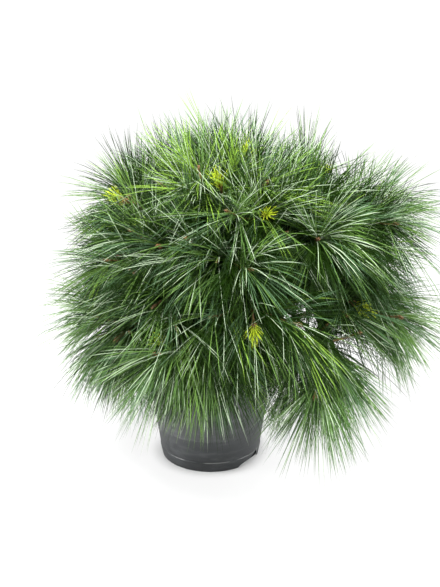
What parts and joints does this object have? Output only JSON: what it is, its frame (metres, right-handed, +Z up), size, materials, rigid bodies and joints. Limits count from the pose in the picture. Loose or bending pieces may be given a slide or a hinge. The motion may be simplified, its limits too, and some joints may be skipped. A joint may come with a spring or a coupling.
{
  "type": "potted dwarf eastern white pine",
  "caption": "Low spreading pine on a short leaning trunk, with tiers of boughs that carry masses of long soft needles, in a round plastic nursery pot filled with soil.",
  "frame": {"origin": "middle of the pot's flat underside, on the surface that the pot stands on", "axes": "+Z up; -Y towards the side that the picture shows; +X to the right as seen there"},
  "size_m": [0.5378, 0.5269, 0.479],
  "materials": {
    "pot_plastic": "satin charcoal, lightly scuffed",
    "potting_soil": "crumbly, moist",
    "bark": "young scaly bark",
    "needles": "soft satin needles"
  },
  "bodies": {
    "root": {"bough_high_1": "bark", "bough_high_2": "bark", "bough_high_3": "bark", "bough_high_4": "bark", "bough_high_5": "bark", "bough_low_1": "bark", "bough_low_2": "bark", "bough_low_3": "bark", "bough_low_4": "bark", "bough_low_5": "bark", "bough_low_6": "bark", "bough_low_7": "bark", "bough_low_8": "bark", "bough_middle_1": "bark", "bough_middle_2": "bark", "bough_middle_3": "bark", "bough_middle_4": "bark", "bough_middle_5": "bark", "bough_middle_6": "bark", "bough_middle_7": "bark", "bough_upper_1": "bark", "bough_upper_2": "bark", "bough_upper_3": "bark", "bough_upper_4": "bark", "bough_upper_5": "bark", "bough_upper_6": "bark", "bough_upper_7": "bark", "needles_high_1": "needles", "needles_high_2": "needles", "needles_high_3": "needles", "needles_high_4": "needles", "needles_high_5": "needles", "needles_leader": "needles", "needles_low_1": "needles", "needles_low_2": "needles", "needles_low_3": "needles", "needles_low_4": "needles", "needles_low_5": "needles", "needles_low_6": "needles", "needles_low_7": "needles", "needles_low_8": "needles", "needles_middle_1": "needles", "needles_middle_2": "needles", "needles_middle_3": "needles", "needles_middle_4": "needles", "needles_middle_5": "needles", "needles_middle_6": "needles", "needles_middle_7": "needles", "needles_upper_1": "needles", "needles_upper_2": "needles", "needles_upper_3": "needles", "needles_upper_4": "needles", "needles_upper_5": "needles", "needles_upper_6": "needles", "needles_upper_7": "needles", "pot": "pot_plastic", "soil": "potting_soil", "trunk": "bark"}
  },
  "joints": []
}
